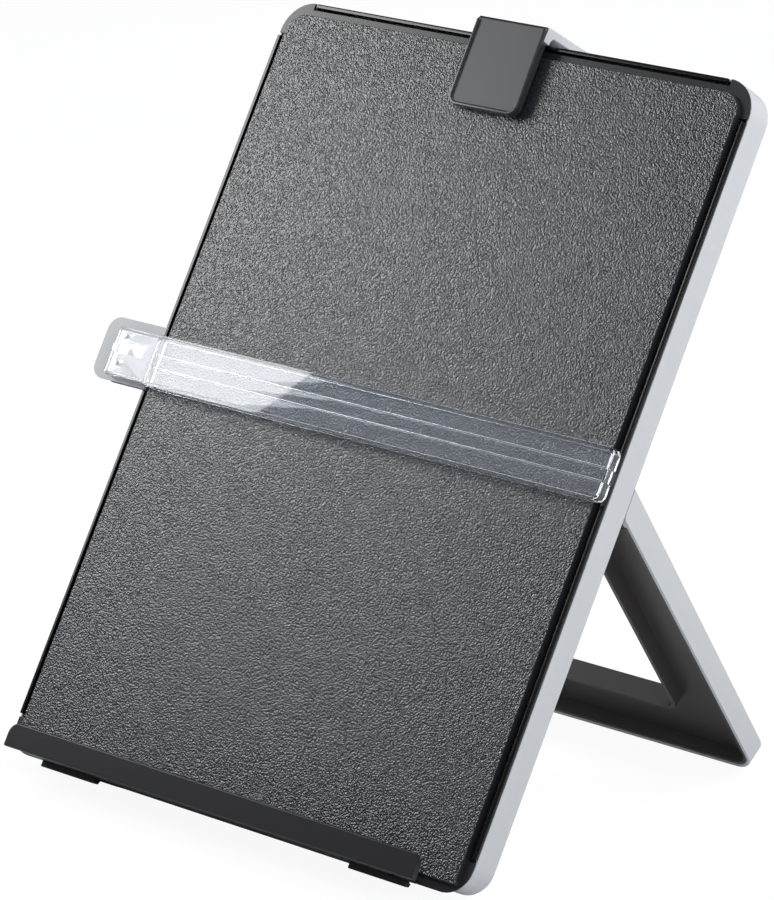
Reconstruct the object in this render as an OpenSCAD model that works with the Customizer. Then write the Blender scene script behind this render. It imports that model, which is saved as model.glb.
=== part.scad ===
// Desk copy holder: a leaning document board on a folding rear leg, with a paper ledge,
// a sprung paper clip and a clear line guide that slides on two edge slots.
// Millimetres, +Z up, the front towards -Y. The origin is the bottom centre of the whole.
//
// Board pieces are drawn flat: x across the board, y up its slope and z out of its face,
// with y = 0 at the bottom edge and z = 0 on the rim of the rear shell.
// Leg pieces are drawn flat too: x across, y down the leg and z out of its rear face.

/* [Board] */
// Width of the board
board_w = 240; // [224:4:260]
// Height of the board along its slope
board_h = 332; // [316:4:352]
// Angle of the board from the table, in degrees
lean = 57.5; // [52:0.5:62]
// Depth of the rear shell
shell_t = 13; // [12:0.5:16]
// Wall of the rear shell
shell_wall = 2; // [1.8:0.1:2.6]
// Radius of the board's upper corners
corner_r = 14; // [11:1:18]
// Radius of the board's lower corners
corner_low_r = 11; // [10:0.5:12]
// Height of the front panel's smooth border above the shell's rim
border_n = 0.9; // [0.6:0.1:1.2]
// Height of the grained plate above the shell's rim
plate_n = 3; // [2.6:0.1:3.6]
// Depth of the front panel's rim inside the shell
spigot_n = 1.2; // [1:0.1:2]
// Width of the front panel's rim round the hollow behind its plate
panel_rim_w = 3.2; // [2.4:0.2:5]
// Radius of the grained plate's upper corners
plate_r = 9; // [6:0.5:11]
// Radius of the grained plate's lower corners
plate_low_r = 1; // [0.5:0.5:3]

/* [Slots and rails] */
// Width of the slots that the guide runs in
slot_w = 2.4; // [2.2:0.1:3]
// Lower end of the slots
slot_low = 13.5; // [12:0.5:20]
// Distance from the slots' upper end to the top of the board
slot_top_gap = 15; // [13:0.5:22]
// Height of the rails above the shell's rim
rail_n = 1.7; // [1.2:0.1:2]
// Depth of the rails' foot inside the shell
rail_foot_n = 4; // [3:0.5:6]
// Gap between the ends of the rails and the corner flanges
rail_end_gap = 1.3; // [0.8:0.1:2]

/* [Ledge] */
// Length of the lip
ledge_w = 214; // [206:2:226]
// Distance from the ends of the lip to the ends of the shelf
shelf_in = 10; // [6:0.5:10]
// Reach of the ledge in front of the shell's rim
ledge_reach = 18; // [14:0.5:24]
// Height of the lip above the bottom of the ledge
lip_h = 10.3; // [8:0.1:14]
// Thickness of the lip
lip_t = 2.6; // [2:0.1:3.4]
// Radius of the lip's upper corners
lip_end_r = 5; // [3:0.5:7]
// Thickness of the shelf and its tongues
shelf_t = 2.3; // [2:0.1:2.8]
// Distance between the middles of the two feet
foot_span = 163; // [140:1:164]
// Length of a foot along its front edge
foot_w = 29; // [24:1:30]
// Length of a foot along its rear edge
foot_back_w = 10; // [8:1:20]
// Thickness of a foot at its front edge
foot_t = 2.6; // [2:0.1:3.4]

/* [Leg] */
// Angle between the board's back and the leg, in degrees
leg_open = 67; // [60:1:70]
// Place of the leg's top on the board, along its slope
leg_top = 157.1; // [148:1:166]
// Thickness of the leg at its top
leg_t = 11.2; // [10.4:0.2:13]
// Taper of the leg's thickness, in degrees
leg_taper = 0.6; // [0:0.1:0.8]
// Wall of the leg's shell
leg_wall = 1.6; // [1.4:0.1:2]
// Wall of the leg's liner
liner_wall = 1.4; // [1.2:0.1:1.8]
// Half the width of the leg's window
window_half = 91.5; // [84:0.5:94]
// Distance from the leg's top to its window
window_top = 28; // [26:1:44]
// Width of the crossbar below the window
crossbar_w = 31.2; // [24:0.4:40]
// Radius of the leg's lower corners
leg_corner_r = 10; // [7:0.5:12]
// Radius of the window's corners
window_r = 4.5; // [3:0.5:7]
// Length of a pad on the leg's foot
leg_pad_w = 24; // [16:1:34]

/* [Leg hinge] */
// Radius of the hinge pins
hinge_pin_r = 1.5; // [1.3:0.1:1.8]
// Radius of the hinge knuckles
knuckle_r = 3; // [2.8:0.1:3.2]
// Width of a knuckle
knuckle_w = 8; // [6:0.5:9]
// Thickness of a bracket's ear
ear_t = 3.4; // [2.6:0.2:3.6]
// Distance from the board's side to the middle of a hinge
hinge_in = 12.3; // [12:0.5:20]
// Thickness of a friction washer
washer_t = 0.5; // [0.4:0.1:0.8]
// Thickness of a bracket's base plate
bracket_t = 2; // [1.6:0.1:2.2]

/* [Clip] */
// Width of the clip
clip_w = 35; // [30:1:44]
// Reach of the jaw down the board
jaw_h = 33; // [28:1:40]
// Height of the jaw's rim above the shell's rim
jaw_n = 8; // [7.6:0.1:9.4]
// Thickness of the jaw
jaw_t = 3.9; // [3.6:0.1:4.4]
// Depth of the recessed face inside the jaw's rim
jaw_recess = 0.9; // [0.5:0.1:1.2]
// Width of the jaw's rim
jaw_rim_w = 1.3; // [1:0.1:2]
// Thickness of the bridge
bridge_t = 3.4; // [3:0.1:4]
// Gap between the bridge and the board's top edge
bridge_gap = 2.8; // [2:0.1:4]
// Thickness of the finger lever
lever_t = 2.9; // [2.4:0.1:3.4]
// Reach of the finger lever down the board's back
lever_h = 32; // [26:1:40]
// Radius of the clip's pin
clip_pin_r = 1.25; // [1:0.05:1.5]
// Distance from the board's back to the clip's pin
clip_pin_back = 6; // [5.6:0.2:7]
// Distance from the board's top edge to the clip's pin
clip_pin_drop = 6; // [4:0.5:9]
// Radius of the wire of the clip's spring
spring_wire_r = 0.5; // [0.4:0.05:0.6]
// Number of turns of the clip's spring
spring_turns = 6; // [4:1:7]

/* [Line guide] */
// Width of the clear bar up the slope
bar_h = 22; // [18:0.5:26]
// Place of the clear bar's lower edge
bar_low = 157.3; // [100:1:200]
// Height of the bar's face above the grained plate
bar_n = 5.5; // [4.8:0.1:7]
// Thickness of the bar's face
bar_t = 1.5; // [1.2:0.1:2]
// Thickness of the bar's side walls
bar_wall = 1.6; // [1.2:0.1:2.2]
// Length of the clear box beside the board
box_w = 21.9; // [18:0.1:26]
// Reach of the finger tab beyond the plate's edge
tab_w = 32; // [27:0.5:38]
// Width of the finger tab up the slope
tab_h = 27; // [24:0.5:31]
// Thickness of the finger tab
tab_t = 1.1; // [0.9:0.1:1.4]
// Radius of the tab's corners
tab_r = 6; // [4:0.5:8]
// Thickness of the slider's plate
slider_t = 1; // [0.8:0.1:1.3]
// Thickness of the shanks in the slots
shank_t = 1.6; // [1.2:0.1:1.7]
// Reach of the toes under the panel's rim
toe_reach = 3; // [2.2:0.1:3.2]
// Thickness of the toes
toe_t = 1.5; // [1.2:0.1:2]

/* [Fits] */
// Gap between pieces that move past each other
run_gap = 0.3; // [0.25:0.05:0.4]
// Gap round a piece that sits inside another
seat_gap = 0.1; // [0.05:0.05:0.2]
// Gap round a pin in its bore
pin_gap = 0.05; // [0.03:0.01:0.08]

/* [Hidden] */
$fn = 48;
cut = 1;               // overrun of every cutting shape
far = 20;              // overrun of slabs that only have to reach past a piece
lap = 0.1;             // overlap of shapes that are one piece

// Colours, as the photograph shows them
silver = [0.78, 0.79, 0.81];
black = [0.12, 0.12, 0.13];
ledge_black = [0.2, 0.2, 0.21];
clear = [0.8, 0.87, 0.92, 0.4];
frosted = [0.7, 0.71, 0.72];
rubber = [0.07, 0.07, 0.07];
steel = [0.6, 0.61, 0.63];

// Board
half_w = board_w / 2;
shell_low = 1.7;                               // bottom of the shell, behind the ledge
panel_low = -0.6;                              // bottom of the front panel
flange_in = 0.3;                               // step from the shell's side to the flange
flange_half = half_w - flange_in;
inner_half = half_w - shell_wall;
floor_n = -shell_t + shell_wall;
slot_high = board_h - slot_top_gap;
plate_half = inner_half - slot_w;
plate_low = 3.4;                               // bottom edge of the grained plate
plate_high = board_h - 6;
panel_edge_top = board_h - shell_wall - 0.9;   // lower side of the top slot
top_slot_half = half_w - 13.6;
rebate_w = 1.1;                                // width of the rails' seat in the shell's wall
rail_in = 0.2;                                 // step from the shell's side to the rail
screw_xs = [-80, 0, 80];
screw_ys = [26, 226, board_h - 42];
boss_r = 4;
screw_r = 1.2;                                 // every screw's thread
pilot_r = screw_r + 0.02;
screw_hole_r = screw_r + 0.3;
screw_head_r = 2.4;
screw_head_h = 1.2;
head_gap = 0.3;                                // room round a screw's sunk head
cross_w = 1.2 * screw_head_r;                  // cross recess in a screw's head
cross_t = 0.6;
cross_depth = 0.7;
counterbore_t = 2.6;                           // depth of the panel screws' heads in the back
boss_top_n = -4.2;                             // where the shell's and the panel's bosses meet
blind_boss_r = 3;                              // bosses behind the brackets' screws
blind_boss_h = shell_t - 5;
pilot_depth = 6;
rib_ys = [0.3, 0.58] * board_h;                // ribs across the floor, clear of the screws
rib_t = 1.5;
rib_h = 2;
rib_half = inner_half - 8;
panel_hollow_r = 6;
panel_hollow_n = border_n - 0.1;               // roof of the hollow behind the plate
panel_boss_r = 3.2;
panel_boss_h = plate_n - 1 - boss_top_n;
panel_pilot_depth = 5;
panel_screw_h = 9;                             // lengths of the screws below their heads
ledge_screw_h = 7;
bracket_screw_h = 7;
liner_screw_h = 4.6;
rail_edge = 0.4;

// Ledge
ledge_low = -0.8;                              // bottom face of the shelf
shelf_top = ledge_low + shelf_t;
shelf_half = ledge_w / 2 - shelf_in;
lip_in = ledge_reach - lip_t;                  // rear face of the lip
lip_edge_r = 0.8;
lip_fillet_r = 1.5;
tongue_w = foot_w;
tongue_back = -10.4;                           // rear end of the tongues and the feet
tongue_front = border_n + 2;                   // where the tongues are one with the shelf
ledge_screw_dx = 5;
ledge_screw_n = -5.4;
ledge_boss_h = 8;
ledge_boss_w = 6.4;
ledge_boss_t = 5.2;
foot_front = 5;
foot_back_t = 1.5;                             // thickness of a foot at its rear edge
foot_drop = 6.4;                               // height of the board's bottom edge over the table

// Leg hinge: knuckles touch neither the board nor the leg's skin as it folds
back_n = -shell_t;
axis_back = knuckle_r + run_gap;               // from the board's back to the hinge's axis
axis_up = (knuckle_r - axis_back * cos(leg_open)) / sin(leg_open);
axis_v = axis_back * sin(leg_open) - axis_up * cos(leg_open);
axis_p = knuckle_r;
hinge_x = half_w - hinge_in;
hinge_y = leg_top + axis_up;
hinge_n = back_n - axis_back;
leg_slope = 180 - lean - leg_open;             // angle of the open leg from the table
apex_z = leg_top * sin(lean) + back_n * cos(lean) + foot_drop;
pad_h = 0.5;                                   // gap under the leg's foot, filled by its pads
leg_len = (apex_z - pad_h) / sin(leg_slope);
leg_pad_right = half_w - leg_corner_r - 2;
leg_pad_p = [0.7, 6.5];                        // front and rear of a pad on the leg's end
mitre = 1 / tan(leg_open);                     // slope of the leg's top end, along the board
window_low = leg_len - crossbar_w;
window_wall = 1.8;                             // wall round the window
liner_top = axis_v + knuckle_r + 1;            // top end of the liner in the shell
liner_front_p = 0.2;                           // step from the shell's edge to the liner's
liner_boss_p = 4.4;                            // front of the liner's sockets for the bosses
liner_cap_t = 1.3;
liner_boss_r = 4.6;
liner_screw_xs = [-60, 0, 60];
shell_boss_r = 3;                              // the shell's bosses for the liner's screws
shell_pilot_p = leg_t - 1;
shell_notch = 5;                               // how far the notches reach below the axis
liner_notch = 7;
notch_p = axis_p + knuckle_r + 0.5;
knuckle_arm_h = 17;                            // reach of the knuckles' arms down the tray
knuckle_arm_p = [axis_p + 1.6, leg_t - 3.4];   // front of an arm at its two ends
leg_high = leg_t + 2;                          // past the leg's rear face
notch_gap = 1.2;                               // room beside the brackets' ears
ear_gap = washer_t + seat_gap;
hinge_span = knuckle_w + 2 * ear_gap + 2 * ear_t;
bracket_len = 16;
bracket_start = 4.6;
ear_r = knuckle_r - 0.1;
ear_foot = 4;                                  // length of an ear on the base plate
washer_r = knuckle_r - 0.4;
pin_end = 0.4;                                 // reach of a pin past its ears
bracket_screw_dx = 3.6;
bracket_screw_y = hinge_y - 13;
clip_screw_dx = 5;
clip_screw_drop = 15;                          // from the clip's pin to its bracket's screws

// Clip
clip_half = clip_w / 2;
clip_pin_y = board_h - clip_pin_drop;
clip_pin_n = back_n - clip_pin_back;
clip_ear_r = 3.2;
clip_ear_t = 2.5;
clip_ear_x = 9.5;                              // inner side of the bracket's ears
clip_ear_low = clip_pin_y - 12;
clip_ear_neck = 2.2;
clip_bracket_low = clip_pin_y - 20;
clip_bracket_h = 16;
clip_cheek_x = clip_ear_x + clip_ear_t + run_gap;
clip_cheek_t = 2.7;
clip_cheek_low = clip_pin_y - 9;
bridge_low = board_h + bridge_gap;
bridge_slope = 2.1;                            // rise of the bridge towards the back, in degrees
lever_n = clip_pin_n - 4.1;                    // inner face of the finger lever
lever_back = lever_n - lever_t;
lever_low = board_h - lever_h;
lever_end_r = 6;
jaw_low = board_h - jaw_h;
jaw_back = jaw_n - jaw_t;
jaw_r = 4.5;
jaw_edge = 0.6;                                // bevel at the jaw's tip
jaw_nose = [1.8, 1.6];                         // bevel at the jaw's top, down and back
clip_pad_in = 2;                               // from the jaw's tip to its pad
clip_pad_h = 4.5;
clip_pad_seat = 0.8;                           // how deep the pad sits in the jaw
down_n = rail_n + run_gap;                     // rear face of the arm's front flange
down_front = jaw_n - 1.9;                      // front face of the arm's front flange
jaw_top = bridge_low + bridge_t - 0.6;
down_low = board_h - 0.5;
arm_edge = 0.8;                                // bevel hidden under the jaw's top
arm_rear_edge = 2;                             // bevel between the bridge and the lever
arm_fillet_r = 2.5;                            // round inner corner of the bridge
arm_fillet_y = bridge_y(down_n - arm_fillet_r) - arm_fillet_r / cos(bridge_slope);
coil_r = 3.3;                                  // middle radius of the spring's coil
coil_step = 22.5;
spring_leg_step = 3;                           // a leg of the spring has three such steps
coil_angle = 180 + 360 * (spring_turns - 1);
coil_pitch = 2 * spring_wire_r + 0.1;

// Line guide
bar_top_n = plate_n + bar_n;
bar_under = plate_n + run_gap;
bar_high = bar_low + bar_h;
bar_right = half_w + 0.2;
bar_left = -plate_half;
bar_r = 3.4;                                   // corners of the bar's right end
box_left = bar_left - box_w;
box_low = bar_low + 0.8;
box_high = bar_high - 0.4;
box_r = 1.8;
box_wall = 1.2;
slider_n = rail_n + 0.2;                       // underside of the slider's plate, over the rail
tab_n = slider_n + slider_t;
tab_top_n = tab_n + tab_t;
tab_left = bar_left - tab_w;
tab_right = bar_left - 1.2;
tab_low = bar_low - 0.8;
tab_window = [14.7, 3.2];
tab_window_x = tab_left + 9;
tab_window_y = tab_low + 12.3;
tab_window_gap = 0.4;                          // from the tab's window to the slider's
shank_out = plate_half + (slot_w + shank_t) / 2;
shank_in = shank_out - shank_t;
toe_pad_t = 0.7;
toe_pad_in = 0.2;
hook_pad_step = 3;                             // reach of the hook's pad past its head
toe_top = -spigot_n - run_gap - toe_pad_t;
toe_low = toe_top - toe_t;
slider_low = tab_low - 0.3;
slider_h = bar_h - 1;
slider_step = 1;                               // from the slider's plate to its shank
slider_r = 1;
hook_h = 5.2;                                  // width of the hook's head up the slope
hook_foot_h = 13;
hook_foot_n = slider_n + 0.5;
hook_low = bar_low + bar_h / 2 - hook_h / 2 - 0.4;
hook_n = bar_under + 1;
guide_ribs = [bar_low + 8, bar_low + 13.4];    // the two reading lines
guide_rib_t = 0.6;
guide_rib_h = 0.5;
pin_r = 1;
pin_x = box_left + 4.1;
slider_left = pin_x - 3.4;
pin_ys = [bar_low + 6.4, bar_high - 3.8];

// Place on the table: the origin is the bottom centre of the whole
front_y = ledge_low * cos(lean) - ledge_reach * sin(lean);
lever_r = 3;                                   // outer radius of the arm's rear bend
bend_n = lever_back + lever_r;
bend_y = bridge_y(bend_n) + bridge_t - lever_r / cos(bridge_slope);
clip_rear_y = bend_y * cos(lean) - bend_n * sin(lean) + lever_r;
foot_rear_y = leg_top * cos(lean) - back_n * sin(lean) + leg_len * cos(leg_slope)
    + (leg_t - leg_len * tan(leg_taper)) * sin(leg_slope);
rear_y = max(clip_rear_y, foot_rear_y);
shift = [-(tab_left + bar_right) / 2, -(front_y + rear_y) / 2, foot_drop];

module on_board() {
    translate(shift) rotate([lean, 0, 0]) children();
}

// The leg's own flat frame starts on the board's back at leg_top
module on_leg() {
    on_board() translate([0, leg_top, back_n]) rotate([-(180 - leg_open), 0, 0]) children();
}

// Rounded rectangle between two corners
module round_rect(low, high, r) {
    translate([low.x + r, low.y]) square([high.x - low.x - 2 * r, high.y - low.y]);
    translate([low.x, low.y + r]) square([high.x - low.x, high.y - low.y - 2 * r]);
    for (x = [low.x + r, high.x - r], y = [low.y + r, high.y - r])
        translate([x, y]) circle(r);
}

// The same with a radius of its own for the lower corners
module round_rect_two(low, high, low_r, high_r) {
    intersection() {
        round_rect(low, high + [0, 2 * low_r], low_r);
        round_rect(low - [0, 2 * high_r], high, high_r);
    }
}

// Box between two corners
module box(low, high) {
    translate(low) cube(high - low);
}

// Profile in (y, z), drawn out along x between x0 and x1
module along_x(x0, x1) {
    translate([x0, 0, 0]) rotate([90, 0, 90]) linear_extrude(x1 - x0) children();
}

module both_sides() {
    children();
    mirror([1, 0, 0]) children();
}

// Screw with the underside of its head at z = 0 and its thread down along -z
module screw(length) {
    difference() {
        cylinder(h = screw_head_h, r = screw_head_r);
        for (a = [0, 90])
            rotate(a) box([-cross_w / 2, -cross_t / 2, screw_head_h - cross_depth],
                [cross_w / 2, cross_t / 2, screw_head_h + cut]);
    }
    translate([0, 0, -length]) cylinder(h = length, r = screw_r);
}

// ---------------------------------------------------------------- board

module shell_outline(inset) {
    round_rect_two([-half_w + inset, shell_low + inset], [half_w - inset, board_h - inset],
        corner_low_r - inset, corner_r - inset);
}

module at_panel_screws() {
    for (x = screw_xs, y = screw_ys) translate([x, y, 0]) children();
}

module at_ledge_screws() {
    for (side = [-1, 1], dx = [-ledge_screw_dx, ledge_screw_dx])
        translate([side * foot_span / 2 + dx, 0, ledge_screw_n]) children();
}

module at_bracket_screws() {
    for (side = [-1, 1], dx = [-bracket_screw_dx, bracket_screw_dx])
        translate([side * hinge_x + dx, bracket_screw_y, back_n]) children();
}

module at_clip_screws() {
    for (dx = [-clip_screw_dx, clip_screw_dx])
        translate([dx, clip_pin_y - clip_screw_drop, back_n]) children();
}

// Seats of the rails, cut into the inner side of the shell's walls
module rail_seats() {
    both_sides()
        box([inner_half - cut, slot_low, -rail_foot_n - seat_gap],
            [inner_half + rebate_w, slot_high, cut]);
    box([-top_slot_half, board_h - shell_wall - cut, -rail_foot_n - seat_gap],
        [top_slot_half, board_h - shell_wall + rebate_w, cut]);
}

module rear_shell() {
    color(silver) on_board() difference() {
        union() {
            difference() {
                translate([0, 0, back_n]) linear_extrude(shell_t) shell_outline(0);
                translate([0, 0, floor_n]) linear_extrude(shell_t) shell_outline(shell_wall);
            }
            at_panel_screws()
                translate([0, 0, back_n]) cylinder(h = boss_top_n - back_n, r = boss_r);
            at_bracket_screws() cylinder(h = blind_boss_h, r = blind_boss_r);
            at_clip_screws() cylinder(h = blind_boss_h, r = blind_boss_r);
            at_ledge_screws() box([-ledge_boss_w / 2, shell_low, -ledge_boss_t / 2],
                [ledge_boss_w / 2, shell_low + ledge_boss_h, ledge_boss_t / 2]);
            for (y = rib_ys)
                box([-rib_half, y, back_n], [rib_half, y + rib_t, floor_n + rib_h]);
        }
        rail_seats();
        at_panel_screws() {
            translate([0, 0, back_n - cut]) cylinder(h = shell_t, r = screw_hole_r);
            translate([0, 0, back_n - cut])
                cylinder(h = counterbore_t + cut, r = screw_head_r + head_gap);
        }
        at_bracket_screws() translate([0, 0, -cut]) cylinder(h = pilot_depth + cut, r = pilot_r);
        at_clip_screws() translate([0, 0, -cut]) cylinder(h = pilot_depth + cut, r = pilot_r);
        at_ledge_screws() translate([0, shell_low - cut, 0]) rotate([-90, 0, 0])
            cylinder(h = ledge_boss_h, r = pilot_r);
    }
}

// Outline of the panel's flange, open at the slots and rails
module flange_outline() {
    difference() {
        round_rect_two([-flange_half, panel_low], [flange_half, board_h], corner_low_r, corner_r);
        for (side = [-1, 1])
            translate([side > 0 ? plate_half : -half_w - cut, slot_low])
                square([half_w - plate_half + cut, slot_high - slot_low]);
        translate([-top_slot_half, panel_edge_top]) square([2 * top_slot_half, far]);
    }
}

module spigot_outline() {
    intersection() {
        flange_outline();
        shell_outline(shell_wall + seat_gap);
    }
}

module front_panel() {
    color(black) on_board() difference() {
        union() {
            linear_extrude(border_n) flange_outline();
            translate([0, 0, -spigot_n]) linear_extrude(spigot_n + lap) spigot_outline();
            linear_extrude(plate_n) round_rect_two([-plate_half, plate_low],
                [plate_half, plate_high], plate_low_r, plate_r);
            box([-flange_half + corner_low_r, panel_low, -spigot_n],
                [flange_half - corner_low_r, shell_low - seat_gap, border_n]);
        }
        translate([0, 0, -spigot_n - cut]) linear_extrude(panel_hollow_n + spigot_n + cut)
            round_rect([-plate_half + panel_rim_w, shell_low + shell_wall + panel_rim_w],
                [plate_half - panel_rim_w, panel_edge_top - panel_rim_w], panel_hollow_r);
        for (side = [-1, 1])
            box([side * foot_span / 2 - tongue_w / 2 - seat_gap, panel_low - cut, -spigot_n - cut],
                [side * foot_span / 2 + tongue_w / 2 + seat_gap, shelf_top + seat_gap,
                    border_n + cut]);
    }
    color(black) on_board() at_panel_screws() difference() {
        translate([0, 0, boss_top_n + seat_gap]) cylinder(h = panel_boss_h, r = panel_boss_r);
        translate([0, 0, boss_top_n - cut]) cylinder(h = panel_pilot_depth + cut, r = pilot_r);
    }
}

// Section of a rail: a foot in the shell's seat and a cap on its rim; x runs outwards
module rail_section() {
    polygon([
        [0, -rail_foot_n], [rebate_w - seat_gap / 2, -rail_foot_n], [rebate_w - seat_gap / 2, 0],
        [shell_wall - rail_in, 0], [shell_wall - rail_in, rail_n - rail_edge],
        [shell_wall - rail_in - rail_edge, rail_n], [0, rail_n],
    ]);
}

module side_rails() {
    color(black) on_board() both_sides()
        translate([inner_half, slot_high - rail_end_gap, 0]) rotate([90, 0, 0])
            linear_extrude(slot_high - slot_low - 2 * rail_end_gap) rail_section();
}

module top_rail() {
    color(black) on_board()
        translate([-top_slot_half + rail_end_gap, board_h - shell_wall, 0]) rotate([90, 0, 90])
            linear_extrude(2 * (top_slot_half - rail_end_gap)) rail_section();
}

module panel_screws() {
    color(steel) on_board() at_panel_screws()
        translate([0, 0, back_n + counterbore_t]) rotate([180, 0, 0]) screw(panel_screw_h);
}

// ---------------------------------------------------------------- ledge

module ledge() {
    color(ledge_black) on_board() difference() {
        union() {
            along_x(-shelf_half, shelf_half) shelf_section();
            intersection() {
                along_x(-ledge_w / 2, ledge_w / 2) lip_section();
                linear_extrude(ledge_reach + cut) lip_outline();
            }
            for (side = [-1, 1])
                box([side * foot_span / 2 - tongue_w / 2, ledge_low, tongue_back],
                    [side * foot_span / 2 + tongue_w / 2, shelf_top, tongue_front]);
        }
        at_ledge_screws() translate([0, ledge_low - cut, 0]) rotate([-90, 0, 0]) {
            cylinder(h = shelf_t + 2 * cut, r = screw_hole_r);
            cylinder(h = cut + screw_head_h, r = screw_head_r + head_gap);
        }
    }
}

// Section of the shelf and the round fillet in the corner under the sheets, in (y, z)
module shelf_section() {
    translate([ledge_low, border_n + seat_gap])
        square([shelf_t, lip_in + lip_t / 2 - border_n - seat_gap]);
    difference() {
        translate([shelf_top - lap, lip_in - lip_fillet_r])
            square([lip_fillet_r + lap, lip_fillet_r + lip_t / 2]);
        translate([shelf_top + lip_fillet_r, lip_in - lip_fillet_r]) circle(lip_fillet_r);
    }
}

// Section of the lip in (y, z), with a round foot and a soft top
module lip_section() {
    round_rect([ledge_low, lip_in], [ledge_low + lip_h, ledge_reach], lip_edge_r);
}

// Outline of the lip from the front: square below, round above
module lip_outline() {
    round_rect([-ledge_w / 2, ledge_low - lip_h], [ledge_w / 2, ledge_low + lip_h], lip_end_r);
}

module ledge_screws() {
    color(steel) on_board() at_ledge_screws()
        translate([0, ledge_low + screw_head_h, 0]) rotate([90, 0, 0]) screw(ledge_screw_h);
}

// Outline of a foot from below: its sides draw in towards its rear edge
module foot_outline() {
    polygon([
        [-foot_w / 2, foot_front], [foot_w / 2, foot_front],
        [foot_back_w / 2, tongue_back], [-foot_back_w / 2, tongue_back],
    ]);
}

// Section of a foot in (y, z), before the table cuts it off level
module foot_section() {
    polygon([
        [ledge_low, tongue_back], [ledge_low, foot_front],
        [ledge_low - foot_t, foot_front], [ledge_low - foot_back_t, tongue_back],
    ]);
}

module ledge_feet() {
    color(rubber) intersection() {
        on_board() for (side = [-1, 1]) translate([side * foot_span / 2, 0, 0]) intersection() {
            along_x(-foot_w / 2, foot_w / 2) foot_section();
            translate([0, ledge_low, 0]) rotate([90, 0, 0])
                linear_extrude(foot_t + cut) foot_outline();
        }
        above_table();
    }
}

// Half space over the table
module above_table() {
    translate([-board_w, -board_h, 0]) cube([2 * board_w, 2 * board_h, 2 * board_h]);
}

// ---------------------------------------------------------------- leg hinge

// Ear of a bracket, in (y, z): round the axis, with its foot on the board's back
module ear_profile() {
    foot_y = hinge_y - bracket_start;
    translate([hinge_y, hinge_n]) circle(ear_r);
    polygon([
        [hinge_y, hinge_n - ear_r], [hinge_y, hinge_n + ear_r], [foot_y, back_n],
        [foot_y - ear_foot, back_n], [foot_y - ear_foot, back_n - bracket_t],
    ]);
}

module hinge_brackets() {
    color(black) on_board() both_sides() difference() {
        union() {
            for (x = [hinge_x - hinge_span / 2, hinge_x + hinge_span / 2 - ear_t])
                along_x(x, x + ear_t) ear_profile();
            box([hinge_x - hinge_span / 2, hinge_y - bracket_len, back_n - bracket_t],
                [hinge_x + hinge_span / 2, hinge_y - bracket_start, back_n]);
        }
        along_x(hinge_x - hinge_span, hinge_x + hinge_span)
            translate([hinge_y, hinge_n]) circle(hinge_pin_r + pin_gap);
        for (dx = [-bracket_screw_dx, bracket_screw_dx])
            translate([hinge_x + dx, bracket_screw_y, back_n - bracket_t - cut])
                cylinder(h = bracket_t + 2 * cut, r = screw_hole_r);
    }
}

module bracket_screws() {
    color(steel) on_board() at_bracket_screws()
        translate([0, 0, -bracket_t]) rotate([180, 0, 0]) screw(bracket_screw_h);
}

module hinge_pins() {
    color(steel) on_board() both_sides()
        translate([hinge_x - hinge_span / 2 - pin_end, hinge_y, hinge_n]) rotate([0, 90, 0])
            cylinder(h = hinge_span + 2 * pin_end, r = hinge_pin_r);
}

module friction_washers() {
    color(steel) on_board() both_sides()
        for (side = [-1, 1])
            translate([hinge_x + side * (knuckle_w + ear_gap) / 2, hinge_y, hinge_n])
                rotate([0, 90, 0]) difference() {
                    cylinder(h = washer_t, r = washer_r, center = true);
                    cylinder(h = washer_t + cut, r = hinge_pin_r + pin_gap, center = true);
                }
}

// ---------------------------------------------------------------- leg

// Everything behind the leg's rear face, moved forward by inset, in (y, z)
module behind_leg(inset) {
    translate([0, leg_t - inset]) rotate(-leg_taper) translate([-far, 0])
        square([leg_len + 2 * far, far]);
}

// Section of the leg, in (y, z): its top end lies along the board's back
module leg_section(inset) {
    r = knuckle_r - inset;
    difference() {
        union() {
            translate([axis_v, axis_p]) circle(r);
            polygon([
                [axis_v, inset], [leg_len - inset, inset], [leg_len - inset, leg_high],
                [axis_v - r / sin(leg_open) - (leg_high - axis_p) * mitre, leg_high],
                [axis_v - r * sin(leg_open), axis_p - r * cos(leg_open)],
                [axis_v, axis_p],
            ]);
        }
        behind_leg(inset);
    }
}

// Outline of the leg from behind: square above, round below
module leg_outline(inset, y_top) {
    round_rect([-half_w + inset, window_low], [half_w - inset, leg_len - inset],
        leg_corner_r - inset);
    translate([-half_w + inset, y_top])
        square([board_w - 2 * inset, window_low + corner_r - y_top]);
}

module window_outline(inset) {
    round_rect([-window_half - inset, window_top - inset],
        [window_half + inset, window_low + inset], window_r + inset);
}

// A slab across the whole thickness of the leg
module through_leg() {
    translate([0, 0, -far]) linear_extrude(leg_t + 2 * far) children();
}

// Room for the brackets' ears, through the leg's front and top
module hinge_notches(depth) {
    both_sides()
        box([hinge_x - hinge_span / 2 - notch_gap, -far, -far],
            [hinge_x + hinge_span / 2 + notch_gap, axis_v + depth, notch_p]);
}

module at_liner_screws() {
    for (x = liner_screw_xs) translate([x, (liner_top + window_top) / 2, 0]) children();
}

// The inside of a tray in the leg, open towards the board, from y_top down
module leg_tray(inset, y_top, low_p = -far) {
    intersection() {
        along_x(-half_w, half_w) difference() {
            translate([y_top, low_p]) square([leg_len, leg_t - low_p]);
            behind_leg(inset);
        }
        through_leg() leg_outline(inset, 0);
    }
}

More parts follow.
